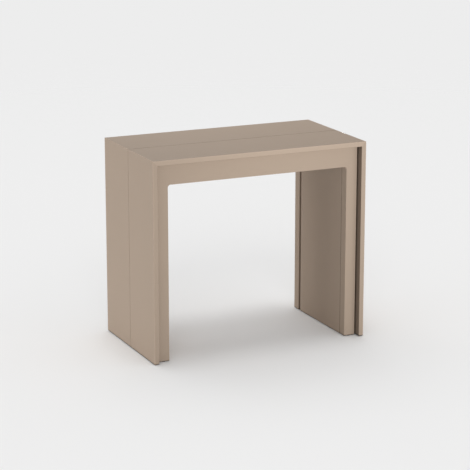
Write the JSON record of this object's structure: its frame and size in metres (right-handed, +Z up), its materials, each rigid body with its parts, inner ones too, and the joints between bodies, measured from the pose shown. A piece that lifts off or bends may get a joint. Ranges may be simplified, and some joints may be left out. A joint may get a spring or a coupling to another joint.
{
  "type": "extending console table",
  "caption": "Lacquered console table whose front half slides out on telescopic rails into a long dining table; mitred board shell, recessed portal frames and flush seam.",
  "frame": {"origin": "on the floor, in the middle of the closed table, under the seam of the top", "axes": "+X along the width, to the right of a person who faces the front; +Y to the rear, where the table stands at the wall; +Z up"},
  "size_m": [0.85, 0.47, 0.75],
  "materials": {
    "taupe_lacquer": "matt lacquer on smooth board",
    "raw_board": "sawn, unfinished",
    "beech": "planed, unfinished",
    "aluminium": "satin anodised extrusion",
    "zinc_steel": "zinc plated",
    "nickel": "nickel plated",
    "black_nylon": "moulded, matt"
  },
  "bodies": {
    "rear_half": {"rear_apron_cleat": "raw_board", "rear_corner_blocks": "raw_board", "rear_glides": "black_nylon", "rear_left_rail": "aluminium", "rear_left_side_panel": "taupe_lacquer", "rear_magnets": "nickel", "rear_portal_frame": "taupe_lacquer", "rear_rail_battens": "raw_board", "rear_rail_plugs": "black_nylon", "rear_rail_screws": "zinc_steel", "rear_right_rail": "aluminium", "rear_right_side_panel": "taupe_lacquer", "rear_spacer_strips": "raw_board", "rear_top_panel": "taupe_lacquer"},
    "front_half": {"front_alignment_tongues": "beech", "front_apron_cleat": "raw_board", "front_corner_blocks": "raw_board", "front_glides": "black_nylon", "front_left_leg_panel": "taupe_lacquer", "front_left_rail": "aluminium", "front_left_side_panel": "taupe_lacquer", "front_leg_battens": "raw_board", "front_leg_tongues": "beech", "front_portal_frame": "taupe_lacquer", "front_rail_bolts": "zinc_steel", "front_rail_lugs": "black_nylon", "front_right_leg_panel": "taupe_lacquer", "front_right_rail": "aluminium", "front_right_side_panel": "taupe_lacquer", "front_spacer_strips": "raw_board", "front_strike_plates": "zinc_steel", "front_top_panel": "taupe_lacquer"},
    "stage_1": {"stage_1_cross_tie": "aluminium", "stage_1_left_rail": "aluminium", "stage_1_right_rail": "aluminium", "stage_1_stops": "black_nylon", "stage_1_tie_screws": "zinc_steel"},
    "stage_2": {"stage_2_cross_tie": "aluminium", "stage_2_left_rail": "aluminium", "stage_2_right_rail": "aluminium", "stage_2_stops": "black_nylon", "stage_2_tie_screws": "zinc_steel"},
    "stage_3": {"stage_3_cross_tie": "aluminium", "stage_3_left_rail": "aluminium", "stage_3_right_rail": "aluminium", "stage_3_stops": "black_nylon", "stage_3_tie_screws": "zinc_steel"},
    "stage_4": {"stage_4_cross_tie": "aluminium", "stage_4_left_rail": "aluminium", "stage_4_right_rail": "aluminium", "stage_4_stops": "black_nylon", "stage_4_tie_screws": "zinc_steel"},
    "stage_5": {"stage_5_cross_tie": "aluminium", "stage_5_left_rail": "aluminium", "stage_5_right_rail": "aluminium", "stage_5_stops": "black_nylon", "stage_5_tie_screws": "zinc_steel"}
  },
  "joints": [
    {"name": "extension", "type": "slide", "parent": "rear_half", "child": "front_half", "axis": [0, -1, 0], "range_m": [0, 1.68]},
    {"name": "stage_1_slide", "type": "slide", "parent": "rear_half", "child": "stage_1", "axis": [0, -1, 0], "range_m": [0, 0.28]},
    {"name": "stage_2_slide", "type": "slide", "parent": "rear_half", "child": "stage_2", "axis": [0, -1, 0], "range_m": [0, 0.56]},
    {"name": "stage_3_slide", "type": "slide", "parent": "rear_half", "child": "stage_3", "axis": [0, -1, 0], "range_m": [0, 0.84]},
    {"name": "stage_4_slide", "type": "slide", "parent": "rear_half", "child": "stage_4", "axis": [0, -1, 0], "range_m": [0, 1.12]},
    {"name": "stage_5_slide", "type": "slide", "parent": "rear_half", "child": "stage_5", "axis": [0, -1, 0], "range_m": [0, 1.4]}
  ],
  "couplings": [
    {"joint": "stage_1_slide", "follows": "extension", "ratio": 0.16667},
    {"joint": "stage_2_slide", "follows": "extension", "ratio": 0.33333},
    {"joint": "stage_3_slide", "follows": "extension", "ratio": 0.5},
    {"joint": "stage_4_slide", "follows": "extension", "ratio": 0.66667},
    {"joint": "stage_5_slide", "follows": "extension", "ratio": 0.83333}
  ]
}
